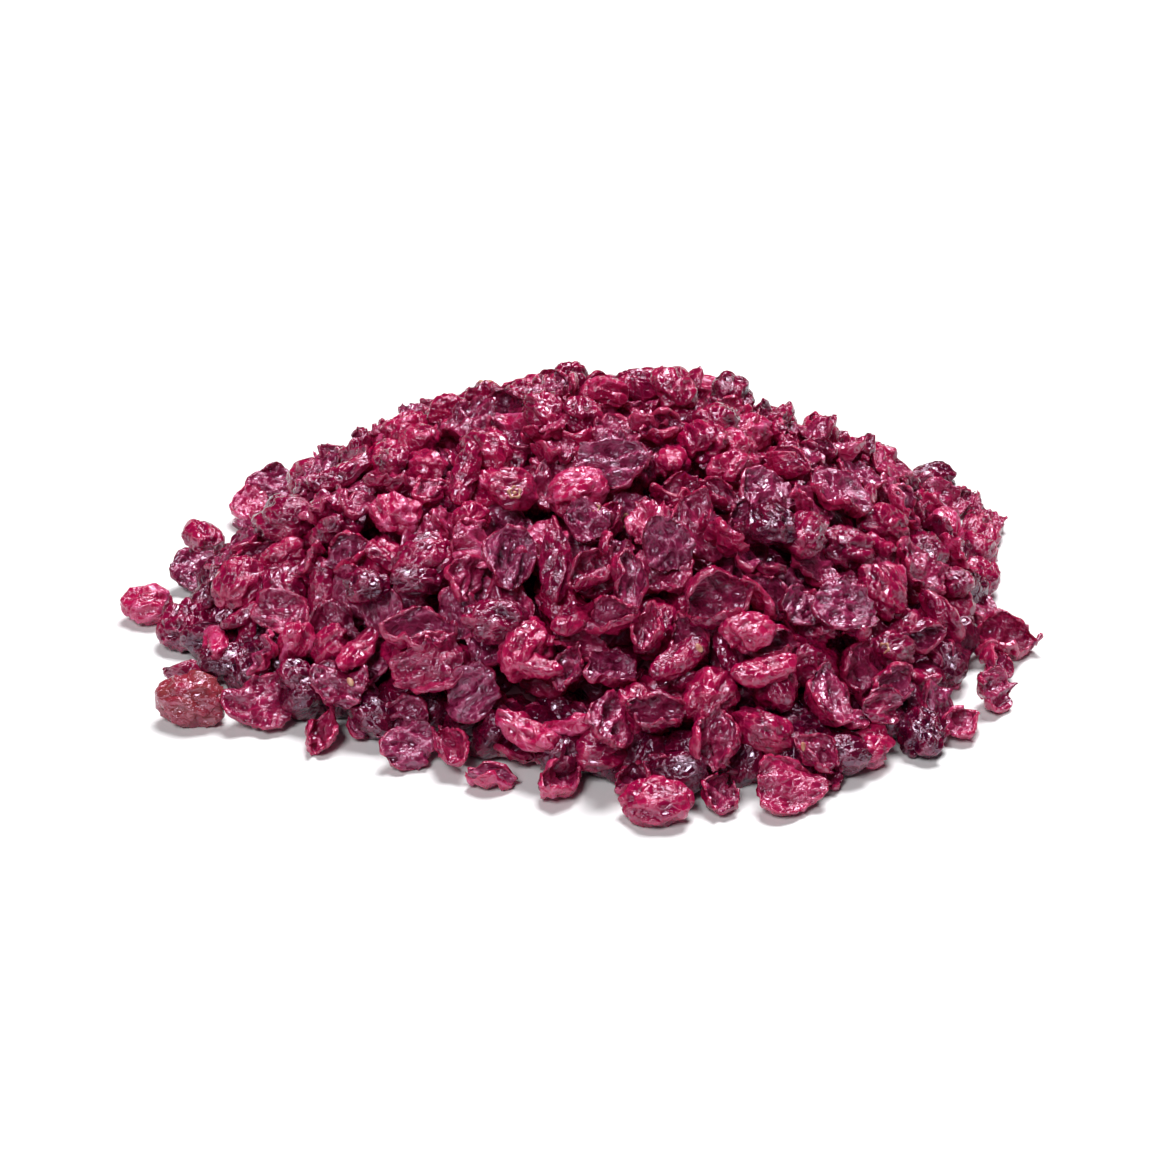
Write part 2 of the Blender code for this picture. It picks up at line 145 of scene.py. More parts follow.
# Those on the slopes lie on the others, and are laid last.
SLOPE_BERRIES = (
    (21, 22, 13.0, "plump", 80, 0, 10),
    (-24, -46, 10.8, "half", 70, -30, 62),
    (-44, -42, 9.0, "plump", 10, 0, 10),
    (-34, -44, 10.5, "plump", 20, 0, 10),
    (-15, -45, 13.5, "half", 84, -48, 24),
    (-5, -48, 16.0, "curl", 88, -40, 0),
    (-46, -51, 12.5, "curl", 58, -16, 10),
    (-33, -54, 15.5, "fold", 4, 0, 30),
    (-31, -59, 15.5, "half", -6, 0, 48),
    (-17, -57, 13.5, "plump", 2, 0, 20),
    (-9, -65, 12.5, "curl", -26, 10, 0),
    (2, -51, 13.5, "fold", 50, -20, 20),
    (10, -54, 13.5, "fold", 100, -44, 10),
    (6, -77, 14.0, "half", 84, -20, 50),
    (28, -57, 16.0, "fold", 32, -8, 50),
    (34, -63, 11.5, "plump", 30, 0, 20),
    (37, -69, 14.5, "curl", 24, 0, 20),
    (54, -49, 13.5, "half", 16, 0, 44),
    (47, -33, 12.0, "plump", 60, -10, 20),
    (18, -45, 11.5, "half", 90, -60, 10),
    (29, -40, 12.5, "half", 130, -20, 50),
    (7, -22, 16.0, "half", -10, 0, 30),
    (40, -34, 12.5, "plump", 100, 0, 20),
    (18, -1, 11.5, "fold", 20, 0, 30),
    (57, 57, 12.5, "fold", 110, -50, 0),
    (68, 49, 14.0, "curl", -30, 0, 10),
    (93, 36, 11.5, "plump", 60, 0, 10),
    (85, 46, 13.0, "half", 20, 0, 30),
)
SLOPE_ROOM = 0.5  # share of its thickness left free for a berry laid last
SLOPE_PROUD = 0.7  # share of its half thickness that its middle may come to rest over the form


def reach(angle):
    """How far the heap reaches from its middle in a direction, 0 along +X."""
    return HEAP_REACH + sum(size * np.cos(n * (angle - way)) for n, size, way in BULGES)


def heap_form(x, y):
    """Height of the heap's smooth form, 0 outside its reach."""
    out = np.hypot(x, y) / reach(np.arctan2(y, x))
    return HEAP_HEIGHT * (1 - np.clip(out, 0, 1) ** SHOULDER_POWER)


def turn_matrix(yaw, tilt, roll):
    """Columns: where a berry's length, width and thickness point."""
    cy, sy = math.cos(yaw), math.sin(yaw)
    ct, st = math.cos(tilt), math.sin(tilt)
    cr, sr = math.cos(roll), math.sin(roll)
    about_z = np.array([[cy, -sy, 0], [sy, cy, 0], [0, 0, 1]])
    about_y = np.array([[ct, 0, st], [0, 1, 0], [-st, 0, ct]])
    about_x = np.array([[1, 0, 0], [0, cr, -sr], [0, sr, cr]])
    return about_z @ about_y @ about_x


class Heap:
    """The height of the heap so far on a grid, and the berries that make it."""

    def __init__(self):
        line = np.arange(-FIELD, FIELD + CELL / 2, CELL)
        self.x, self.y = np.meshgrid(line, line, indexing="ij")
        self.form = heap_form(self.x, self.y)
        self.height = np.maximum(self.form - PACKED_DEPTH, 0)
        self.owner = np.full(self.height.shape, -1)
        self.berries = []

    def around(self, x, y, out):
        """The grid's cells within a distance of a place."""
        i, j = (int(round((v + FIELD) / CELL)) for v in (x, y))
        n = int(math.ceil(out / CELL))
        return slice(i - n, i + n + 1), slice(j - n, j + n + 1)

    def short(self, x, y):
        """How far the heap falls short of its form near a place."""
        near = self.around(x, y, 3 * MM)
        return (self.form[near] - self.height[near]).mean()

    def lean(self, x, y):
        """The turn that lays a level thing along the heap's form at a place."""
        near = heap_form(self.x, self.y)[self.around(x, y, 6 * MM)]
        rise_x = math.atan2(near[-1].mean() - near[0].mean(), 12 * MM)
        rise_y = math.atan2(near[:, -1].mean() - near[:, 0].mean(), 12 * MM)
        return turn_matrix(0, -rise_x, 0) @ turn_matrix(0, 0, rise_y)

    def rest(self, x, y, half, turn):
        """How high a berry's middle comes to rest, and the surface that it makes."""
        oval = turn @ np.diag(1 / half**2) @ turn.T
        near = self.around(x, y, half.max())
        dx, dy = self.x[near] - x, self.y[near] - y
        b = oval[0, 2] * dx + oval[1, 2] * dy
        c = oval[0, 0] * dx**2 + 2 * oval[0, 1] * dx * dy + oval[1, 1] * dy**2 - 1
        root = b**2 - oval[2, 2] * c
        under = root > 0
        root = np.sqrt(np.where(under, root, 0))
        low, high = (-b - root) / oval[2, 2], (-b + root) / oval[2, 2]
        lift = np.where(under, self.height[near] - low, -1).max()
        lowest = math.sqrt(((turn[2] * half) ** 2).sum())
        return max(lift - NESTLE * half[2], lowest), near, under, high

    def lay(self, x, y, half, turn, kind, most=math.inf):
        """Sets a berry down at a place, its middle no higher than a limit."""
        z, near, under, high = self.rest(x, y, half, turn)
        z = min(z, most)
        top = np.where(under, z + high, -1)
        above = top > self.height[near]
        self.height[near] = np.where(above, top, self.height[near])
        self.owner[near] = np.where(above, len(self.berries), self.owner[near])
        at = np.array([x, y, z])
        self.berries.append({"at": at, "half": half, "turn": turn, "kind": kind})


def half_sizes(kind, length, draws):
    """Half the length, width and thickness of a berry of a kind."""
    width, thickness = (draws.uniform(*span) for span in KINDS[kind][1:])
    return np.array([1, width, thickness]) * length / 2


def told_apart(rows, draws):
    """The berries of a table above, as place, half sizes, turn and kind."""
    for x, y, length, kind, yaw, tilt, roll in rows:
        turn = turn_matrix(*(math.radians(v) for v in (yaw, tilt, roll)))
        yield x * MM, y * MM, half_sizes(kind, length * MM, draws), turn, kind


def pile_berries():
    """The whole heap, berry by berry."""
    draws = np.random.default_rng(SEED)
    heap = Heap()
    for foot in told_apart(FOOT_BERRIES, draws):
        heap.lay(*foot)
    slope_berries = list(told_apart(SLOPE_BERRIES, draws))
    whole = heap.form.copy()
    for x, y, half, _, _ in slope_berries:
        near = heap.around(x, y, half[1])
        room = whole[near] - 2 * half[2] * SLOPE_ROOM
        heap.form[near] = np.minimum(heap.form[near], room)
    kinds = list(KINDS)
    shares = [KINDS[kind][0] for kind in kinds]
    misses = 0
    while misses < MISSES:
        way = draws.uniform(-math.pi, math.pi, PLACES)
        out = np.sqrt(draws.uniform(0, 1, PLACES)) * reach(way)
        places = list(zip(out * np.cos(way), out * np.sin(way)))
        x, y = max(places, key=lambda place: heap.short(*place))
        kind = kinds[draws.choice(len(kinds), p=shares)]
        length = SHORTEST + (LONGEST - SHORTEST) * draws.beta(2.0, 2.4)
        half = half_sizes(kind, length, draws)
        slope = heap.lean(x, y)
        turns = []
        for _ in range(WAYS):
            yaw = draws.uniform(-math.pi, math.pi)
            turns.append(slope @ turn_matrix(yaw, *draws.normal(0, LEAN, 2)))
        turn = min(turns, key=lambda turn: heap.rest(x, y, half, turn)[0])
        if heap.rest(x, y, half, turn)[0] < heap.form[heap.around(x, y, 0)] + PROUD:
            heap.lay(x, y, half, turn, kind)
            misses = 0
        else:
            misses += 1
    for x, y, half, turn, kind in slope_berries:
        most = whole[heap.around(x, y, 0)].item() + half[2] * SLOPE_PROUD
        heap.lay(x, y, half, turn, kind, most)
    return heap


heap = pile_berries()


# A dried berry: an uneven ball where it is whole, and a cup, a folded flap or a
# twisted strip of skin where it is cut, with the flesh on the upper side. As it
# dried, the skin and the flesh shrank between the ridges of their wrinkles.
FLOOR_GAP = 0.1 * MM  # between the floor and the lowest berries
# The fewest of the heap's grid cells that a berry shows, and how many parts the
# edges of the icosahedron that its ball is made from are then cut into.
FINENESS = ((60, 11), (20, 9), (1, 5), (0, 4))
# A cut berry, in parts of its half size: how high and wide its lip is, how deep its
# face is, how far the face waves up and down and the rim in and out, two and three
# times round, how far apart and how high its crumples are, the level that they keep
# to, and how far they draw the rim in.
LIP = (0.5, 0.3)
HALF_HOLLOW = (0.05, 0.4)
FOLD_HOLLOW = 0.7
FACE_WAVES = (0.24, 0.12)
RIM_WAVES = (0.10, 0.08)
CRUMPLES = (0.6, 0.65)
CRUMPLE_LEVEL = 0.45
RIM_CRUMPLE = 0.12
# A folded half: how much its two ends are drawn to a point, how fast they narrow, how
# thin it is, and how far it is folded up and bent.
BLUNT_END = (0.15, 0.5)
SHARP_END = (0.45, 0.8)
NARROWING = 1.6
FOLD_THIN = 0.6
FOLDED_UP = (0.9, 1.5)
FOLD_BENT = (-0.5, 0.5)
# A curl: how far it is twisted either way, its width and thickness, how far it is bent.
CURL_TWIST = 0.9
CURL_WIDE = 0.5
CURL_THICK = 0.4
CURL_BENT = (0.5, 1.2)
# A whole berry, in parts of its half size: where it was pressed in, and the grooves
# that came along it as it shrank.
PRESSES = 4
PRESS_DEPTH = (0.12, 0.34)
PRESS_SPREAD = 0.4
GROOVES = 3
GROOVE_LEAN = 0.4  # how far they lean off its length, 0 for not at all
GROOVE_OFF = 0.5  # how far off its middle a groove's plane may lie
GROOVE_DEPTH = 0.13
GROOVE_WIDTH = 0.15
GROOVE_WAVER = 0.15
# The wrinkles: how far apart they are and how high.
NETWORK = (4.2 * MM, 1.0 * MM)
RIPPLES = (1.9 * MM, 0.34 * MM)
NETWORK_SHARE = 0.6  # of what counts as ridge in the colours, the rest being ripples
WHOLE_DEEPER = 1.35  # how much higher the network is on a whole berry
DRAWN_OUT = 0.45  # how far wrinkles are drawn out along the berry, 1 for not at all
FINE_DRAWN_OUT = 0.7  # the same for the finest creases, made in the material
WANDER = 0.9 * MM  # how far a ridge wanders off its line
WANDER_LENGTH = 1.6  # of a wander's waves, in wanders
RIDGE_POWER = 2.2  # how sharp the ridges of the network are
FEWEST_DENTS = 6  # in the network of one berry
SWELLS = 5  # the waves that cross to make a pattern of ripples
# How far over the cut edge the flesh begins, and how wide the thin edge is.
FLESH_FADE = 0.25
EDGE_WIDTH = 0.2


def crests(points, width, draws):
    """1 along ridges that meander a width apart, down to 0 in the dents between."""
    ways = draws.normal(size=(SWELLS, 3))
    ways *= (math.pi / width / np.linalg.norm(ways, axis=1))[:, None]
    swell = np.sin(points @ ways.T + draws.uniform(0, 2 * math.pi, SWELLS)).sum(axis=1)
    return np.maximum(1 - np.abs(swell) / math.sqrt(SWELLS), 0)


def bowl(points, draws, hollow):
    """A ball turned into a cut berry: the skin below, the cut face hollow above."""
    x, y, z = points.T
    out = np.hypot(x, y)
    way = np.arctan2(y, x)
    lip = LIP[0] * z * np.exp(-((z / LIP[1]) ** 2))
    z = np.where(z < 0, z, lip - hollow * z)
    first, second, third, fourth = draws.uniform(-math.pi, math.pi, 4)
    twice, thrice = FACE_WAVES
    z = z + out**3 * (twice * np.sin(2 * way + first) + thrice * np.sin(3 * way + second))
    twice, thrice = RIM_WAVES
    rim = 1 + twice * np.sin(2 * way + third) + thrice * np.sin(3 * way + fourth)
    flat = np.stack([x * rim, y * rim, 0 * z], axis=1)
    crumple = crests(flat, CRUMPLES[0], draws) - CRUMPLE_LEVEL
    raised = [[0, 0, 1]] * (z + CRUMPLES[1] * crumple)[:, None]
    return flat * (1 + RIM_CRUMPLE * crumple)[:, None] + raised


def bent(points, amount):
    """Bent upwards along its length."""
    x, y, z = points.T
    arm = 1 / amount - z
    return np.stack([arm * np.sin(amount * x), y, 1 / amount - arm * np.cos(amount * x)], 1)


def plump_form(points, draws):
    """A whole berry, uneven, pressed in from a few sides and grooved along its length."""
    for _ in range(PRESSES):
        way = draws.normal(size=3)
        near = ((points - way / np.linalg.norm(way)) ** 2).sum(axis=1)
        pressed = draws.uniform(*PRESS_DEPTH) * np.exp(-near / PRESS_SPREAD)
        points = points * (1 - pressed)[:, None]
    for _ in range(GROOVES):
        way = draws.normal(size=3) * [GROOVE_LEAN, 1, 1]
        off = points @ (way / np.linalg.norm(way)) + draws.uniform(-GROOVE_OFF, GROOVE_OFF)
        off = off + GROOVE_WAVER * np.sin(3 * points[:, 0] + draws.uniform(0, 6))
        points = points * (1 - GROOVE_DEPTH * np.exp(-((off / GROOVE_WIDTH) ** 2)))[:, None]
    return points


def half_form(points, draws):
    """A cut half, dried into a shallow wavy cup."""
    return bowl(points, draws, draws.uniform(*HALF_HOLLOW))


def fold_form(points, draws):
    """A cut half folded up along its length, with pointed ends."""
    x, y, z = bowl(points, draws, FOLD_HOLLOW).T
    blunt, sharp = draws.uniform(*BLUNT_END), draws.uniform(*SHARP_END)
    y = y * (1 - np.where(x > 0, sharp, blunt) * np.abs(x) ** NARROWING)
    across = bent(np.stack([y, x, z * FOLD_THIN], axis=1), draws.uniform(*FOLDED_UP))
    return bent(across[:, [1, 0, 2]], draws.uniform(*FOLD_BENT))


def curl_form(points, draws):
    """A narrow strip of skin, curled and twisted."""
    x, y, z = points.T
    twist = draws.uniform(-CURL_TWIST, CURL_TWIST) * x
    y, z = y * np.cos(twist) - z * np.sin(twist), y * np.sin(twist) + z * np.cos(twist)
    strip = np.stack([x, y * CURL_WIDE, z * CURL_THICK], axis=1)
    return bent(strip, draws.uniform(*CURL_BENT))


FORMS = {"plump": plump_form, "half": half_form, "fold": fold_form, "curl": curl_form}


def geodesic_ball(parts):
    """Points and triangles of a unit ball, from an icosahedron with its edges cut in parts."""
    ball = bmesh.new()
    bmesh.ops.create_icosphere(ball, subdivisions=1, radius=1)
    points = []
    numbers = {}
    triangles = []
    for face in ball.faces:
        a, b, c = (np.array(corner.co) for corner in face.verts)
        here = {}
        for i in range(parts + 1):
            for j in range(parts + 1 - i):
                point = a * (parts - i - j) + b * i + c * j
                point /= np.linalg.norm(point)
                key = tuple(np.round(point, 5) + 0.0)
                if key not in numbers:
                    numbers[key] = len(points)
                    points.append(point)
                here[i, j] = numbers[key]
        for i in range(parts):
            for j in range(parts - i):
                triangles.append((here[i, j], here[i + 1, j], here[i, j + 1]))
                if i + j < parts - 1:
                    triangles.append((here[i + 1, j], here[i + 1, j + 1], here[i, j + 1]))
    ball.free()
    return np.array(points), np.array(triangles)


def outward(points, triangles):
    """Each point's normal and the whole surface's area, from the triangles."""
    a, b, c = (points[triangles[:, corner]] for corner in range(3))
    across = np.cross(b - a, c - a)
    normals = np.zeros_like(points)
    for corner in range(3):
        np.add.at(normals, triangles[:, corner], across)
    normals /= np.maximum(np.linalg.norm(normals, axis=1), 1e-15)[:, None]
    return normals, np.linalg.norm(across, axis=1).sum() / 2


def network(points, area, width, draws):
    """1 on the ridges between dents of a width, down to 0 in the middle of a dent."""
    count = int(area / width**2 / DRAWN_OUT**0.5)
    count = min(max(count, FEWEST_DENTS), len(points) // 3)
    dents = points[draws.choice(len(points), count, False)]
    waves = points[:, [1, 2, 0]] / WANDER / WANDER_LENGTH
    wander = np.sin(waves + draws.uniform(-math.pi, math.pi, 3))
    apart = (points + wander * WANDER)[:, None] - dents[None]
    apart[:, :, 0] *= DRAWN_OUT
    near = np.partition((apart**2).sum(axis=2), 1, axis=1)[:, :2] ** 0.5
    near.sort(axis=1)
    return (2 * near[:, 0] / np.maximum(near.sum(axis=1), 1e-9)) ** RIDGE_POWER


def dried_berry(berry, ball, triangles, number):
    """A berry's points in the heap, how much each is ridge, flesh and thin edge, and its
    place on the berry itself, which the patterns of the material follow."""
    points = FORMS[berry["kind"]](ball, np.random.default_rng([SEED, number]))
    low, high = points.min(axis=0), points.max(axis=0)
    points = (2 * points - low - high) / (high - low) * berry["half"]
    draws = np.random.default_rng([SEED, number, 1])
    normals, area = outward(points, triangles)
    ridge = network(points, area, NETWORK[0], draws)
    deep = NETWORK[1] * (WHOLE_DEEPER if berry["kind"] == "plump" else 1)
    points = points + normals * ((ridge - 0.5) * deep)[:, None]
    normals, _ = outward(points, triangles)
    ripple = crests(points * [DRAWN_OUT, 1, 1], RIPPLES[0], draws)
    points = points + normals * ((ripple - 0.5) * RIPPLES[1])[:, None]
    z = ball[:, 2]
    cut = berry["kind"] in ("half", "fold")
    # The ridge mask is where the colours are painted lighter, as highlight.
    masks = {
        "ridge": NETWORK_SHARE * ridge + (1 - NETWORK_SHARE) * ripple,
        "flesh": np.clip(z / FLESH_FADE, 0, 1) if cut else np.zeros(len(z)),
        "edge": np.exp(-((z / EDGE_WIDTH) ** 2)) if cut else np.zeros(len(z)),
    }
    along = points * [FINE_DRAWN_OUT, 1, 1] + draws.uniform(-1, 1, 3)
    points = points @ berry["turn"].T + berry["at"]
    points[:, 2] = np.maximum(points[:, 2], FLOOR_GAP)
    return points, masks, along


# The berries' colours, from dark purple through crimson to bright pink. The sugar
# that the fruit is steeped in leaves the skin glossy, and thin edges let light
# through; the lighter pink of those edges is painted glow. The cut flesh is mottled,
# dusty pink over dark crimson, and duller.
DARK_PURPLE = (0.042, 0.0005, 0.0130, 1)
DEEP_CRIMSON = (0.110, 0.0006, 0.0190, 1)
CRIMSON = (0.250, 0.0012, 0.0420, 1)
BRIGHT_RED = (0.440, 0.0060, 0.0680, 1)
PINK = (0.600, 0.0700, 0.2100, 1)
DARK_FLESH = (0.100, 0.0008, 0.0220, 1)
PINK_FLESH = (0.380, 0.0300, 0.1200, 1)
UNRIPE = (0.160, 0.0620, 0.0280, 1)
# Painted glow: the colour of light shining through the thin cut edges.
PAINTED_EDGE_GLOW = (0.660, 0.0600, 0.1400, 1)
GLINT = (0.96, 0.77, 1.0, 1)  # colour of the skin's gloss
# How many times the patterns of the skin and the flesh repeat in a metre.
BLOTCHES = 260
MOTTLES = 480
SWELLINGS = 620
CREASES = 640
GRAINS = 1500
DRIFT = 0.9 * MM  # how far the finest creases stray
CREASE_SHARPNESS = 5.0
# How much each pattern lightens a berry, and the level that they keep to. The blotches are the
# fruit's own; the lighter ridges are painted highlight, and the darker crease middles painted shade.
BLOTCH_LIGHTER = 0.6
RIDGE_PAINTED_HIGHLIGHT = 0.36
CREASE_PAINTED_SHADE = -0.18
LIGHT_LEVEL = 0.32
# The skin's colours between the darkest and the lightest, and where each one is.
SKIN_COLOURS = ((0.25, DEEP_CRIMSON), (0.5, CRIMSON), (0.76, BRIGHT_RED))
PALE_SPAN = (0.2, 0.85)  # of the flesh's pattern, from dark to pale
# How much the flesh is painted paler on ridges as highlight, and darker in creases as shade.
RIDGE_AND_CREASE_PAINTED_LIGHT = 0.35
DULLEST = 0.8  # how far cut flesh may have gone the colour of the skin
BROWN_SHARE = 0.85
EDGE_GLOW_SHARE = 0.15
# The finest relief, which the material makes: its parts, height and strength.
SWELLING_RISE = 0.5
CREASE_FALL = -0.6
RELIEF = 0.4 * MM
RELIEF_STRENGTH = 0.6
# The finish: the skin's roughness, what flesh and blotches add, and the syrup's gloss.
SKIN_ROUGHNESS = 0.04
FLESH_ROUGHER = 0.08
BLOTCH_ROUGHER = 0.12
SYRUP_IOR = 1.55
GLOSS = 1.0
# How much light goes through the fruit, how far, and the share of that in each colour.
GLOW = 0.15
GLOW_REACH = 1.2 * MM
GLOW_COLOURS = (1.0, 0.12, 0.2)


def node(tree, kind, inputs, **settings):
    """A shader node with its settings, and its inputs by name or number, set or linked."""
    made = tree.nodes.new(kind)
    for name, value in settings.items():
        setattr(made, name, value)
    for name, value in inputs.items():
        if isinstance(value, bpy.types.NodeSocket):
            tree.links.new(value, made.inputs[name])
        else:
            made.inputs[name].default_value = value
    return made


def math_node(tree, operation, *values):
    """The result of a sum."""
    made = node(tree, "ShaderNodeMath", dict(enumerate(values)), operation=operation)
    return made.outputs[0]


def mixed(tree, share, first, second):
    """One colour mixed into another."""
    inputs = {"Factor": share, 6: first, 7: second}
    return node(tree, "ShaderNodeMix", inputs, data_type="RGBA").outputs[2]


def attribute(tree, name, output="Fac"):
    """What the mesh says about each of its points."""
    return node(tree, "ShaderNodeAttribute", {}, attribute_name=name).outputs[output]


def noise(tree, place, scale, detail):
    """A soft pattern."""
    inputs = {"Vector": place, "Scale": scale, "Detail": detail}
    return node(tree, "ShaderNodeTexNoise", inputs)


def new_material(name):
    """A material, its node tree and its surface."""
    material = bpy.data.materials.new(name)
    material.use_nodes = True
    return material, material.node_tree, material.node_tree.nodes["Principled BSDF"]


def berry_material():
    """The skin and the flesh of all the berries."""
    material, tree, surface = new_material("dried_cranberry")
    place = attribute(tree, "along", "Vector")
    blotches = noise(tree, place, BLOTCHES, 3).outputs["Fac"]
    grain = noise(tree, place, GRAINS, 4).outputs["Color"]
    drift = {0: grain, 1: (DRIFT, DRIFT, DRIFT)}
    drift = node(tree, "ShaderNodeVectorMath", drift, operation="MULTIPLY").outputs[0]
    drifted = node(tree, "ShaderNodeVectorMath", {0: place, 1: drift}, operation="ADD").outputs[0]
    creases = {"Vector": drifted, "Scale": CREASES}
    creases = node(tree, "ShaderNodeTexVoronoi", creases, feature="DISTANCE_TO_EDGE")
    crease = math_node(tree, "MULTIPLY", creases.outputs["Distance"], CREASE_SHARPNESS)
    crease = math_node(tree, "SMOOTH_MIN", crease, 1.0, 0.5)
    ridge = attribute(tree, "ridge")
    flesh = attribute(tree, "flesh")

    light = math_node(tree, "MULTIPLY_ADD", blotches, BLOTCH_LIGHTER, attribute(tree, "tone"))
    # Painted highlight: the skin lighter on the ridges of its wrinkles.
    light = math_node(tree, "MULTIPLY_ADD", ridge, RIDGE_PAINTED_HIGHLIGHT, light)
    # Painted shade: the skin darker in the middles of the creases.
    light = math_node(tree, "MULTIPLY_ADD", crease, CREASE_PAINTED_SHADE, light)
    light = math_node(tree, "SUBTRACT", light, LIGHT_LEVEL)
    skin = node(tree, "ShaderNodeValToRGB", {"Fac": light})
    ramp = skin.color_ramp
    ramp.elements[0].color = DARK_PURPLE
    ramp.elements[1].color = PINK
    for position, colour in SKIN_COLOURS:
        ramp.elements.new(position).color = colour
    skin = skin.outputs["Color"]

    mottle = noise(tree, place, MOTTLES, 3).outputs["Fac"]
    # Painted shade in the creases and painted highlight on the ridges, over the flesh's own mottles.
    pale = math_node(tree, "MULTIPLY_ADD", crease, -RIDGE_AND_CREASE_PAINTED_LIGHT, mottle)
    pale = math_node(tree, "MULTIPLY_ADD", ridge, RIDGE_AND_CREASE_PAINTED_LIGHT, pale)
    pale = {"Value": pale, "From Min": PALE_SPAN[0], "From Max": PALE_SPAN[1]}
    pale = node(tree, "ShaderNodeMapRange", pale).outputs[0]
    inside = mixed(tree, pale, DARK_FLESH, PINK_FLESH)
    dull = math_node(tree, "MULTIPLY", attribute(tree, "dull"), DULLEST)
    inside = mixed(tree, dull, inside, skin)
    colour = mixed(tree, flesh, skin, inside)
    unripe = mixed(tree, blotches, UNRIPE, BRIGHT_RED)
    brownness = math_node(tree, "MULTIPLY", attribute(tree, "brown"), BROWN_SHARE)
    colour = mixed(tree, brownness, colour, unripe)
    # Painted glow: thin edges of cut berries mixed toward a light pink, as if lit through.
    edge_glow = math_node(tree, "MULTIPLY", attribute(tree, "edge"), EDGE_GLOW_SHARE)
    colour = mixed(tree, edge_glow, colour, PAINTED_EDGE_GLOW)

    swelling = noise(tree, place, SWELLINGS, 0.5).outputs["Fac"]
    height = math_node(tree, "MULTIPLY", crease, CREASE_FALL)
    height = math_node(tree, "MULTIPLY_ADD", swelling, SWELLING_RISE, height)
    relief = {"Height": height, "Distance": RELIEF, "Strength": RELIEF_STRENGTH}
    relief = node(tree, "ShaderNodeBump", relief).outputs["Normal"]
    rough = math_node(tree, "MULTIPLY_ADD", flesh, FLESH_ROUGHER, SKIN_ROUGHNESS)
    rough = math_node(tree, "MULTIPLY_ADD", blotches, BLOTCH_ROUGHER, rough)
    tree.links.new(colour, surface.inputs["Base Color"])
    tree.links.new(rough, surface.inputs["Roughness"])
    tree.links.new(relief, surface.inputs["Normal"])
    surface.inputs["IOR"].default_value = SYRUP_IOR
    surface.inputs["Specular IOR Level"].default_value = GLOSS
    surface.inputs["Specular Tint"].default_value = GLINT
    surface.inputs["Subsurface Weight"].default_value = GLOW
    surface.inputs["Subsurface Radius"].default_value = GLOW_COLOURS
    surface.inputs["Subsurface Scale"].default_value = GLOW_REACH
    return material


# How light the berries are: 0 is dark purple, 0.5 crimson and 1 pink. Those that can
# be told apart have their own, by their rows in the tables. One at the front left
# stayed brownish.
TONE = 0.46
TONE_SPREAD = 0.15
LIGHTEST = 0.72
TONES_AT_FOOT = {
    2: 0.4, 3: 0.65, 4: 0.55, 5: 0.5, 6: 0.5, 7: 0.65, 8: 0.55, 9: 0.65, 10: 0.45, 11: 0.5,
    12: 0.58, 13: 0.58, 14: 0.5, 15: 0.6, 16: 0.35, 17: 0.6, 18: 0.05, 19: 0.6, 20: 0.58, 22: 0.5,
}
TONES_ON_SLOPES = {
    0: 0.5, 1: 0.6, 4: 0.4, 6: 0.58, 8: 0.45, 9: 0.3, 10: 0.55, 13: 0.4, 14: 0.4, 16: 0.55,
    17: 0.3, 19: 0.2, 20: 0.55, 21: 0.55, 22: 0.1, 23: 0.55,
}
BROWN_BERRY = 0
MOST_TRIANGLES = 190000  # in one piece: each kind of berry is a piece, or more if it needs them


def placed(name, mesh):
    """A mesh, light or camera as an object of the scene."""
    piece = bpy.data.objects.new(name, mesh)
    bpy.context.scene.collection.objects.link(piece)
    return piece


def berries_piece(name, numbers, material):
    """One mesh of many berries."""
    points, triangles, alongs, looks = [], [], [], {}
    count = 0
    for number in numbers:
        shape = balls[fineness[number]]
        places, masks, along = dried_berry(heap.berries[number], *shape, number)
        masks["tone"] = np.full(len(places), tones[number])
        masks["dull"] = np.full(len(places), dulls[number])
        masks["brown"] = np.full(len(places), brown[number])
        points.append(places)
        triangles.append(shape[1] + count)
        count += len(places)
        for look, values in masks.items():
            looks.setdefault(look, []).append(values)
        alongs.append(along)
    points, triangles = np.concatenate(points), np.concatenate(triangles)
    mesh = bpy.data.meshes.new(name)
    mesh.vertices.add(len(points))
    mesh.vertices.foreach_set("co", points.ravel())
    mesh.loops.add(triangles.size)
    mesh.loops.foreach_set("vertex_index", triangles.ravel())
    mesh.polygons.add(len(triangles))
    mesh.polygons.foreach_set("loop_start", np.arange(0, triangles.size, 3))
    mesh.update(calc_edges=True)
    mesh.shade_smooth()
    for look, values in looks.items():
        mask = mesh.attributes.new(look, "FLOAT", "POINT")
        mask.data.foreach_set("value", np.concatenate(values).astype(np.float32))
    mask = mesh.attributes.new("along", "FLOAT_VECTOR", "POINT")
    mask.data.foreach_set("vector", np.concatenate(alongs).astype(np.float32).ravel())
    mesh.materials.append(material)
    piece = placed(name, mesh)
    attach(piece, "root")
    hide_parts("cranberry_heap")


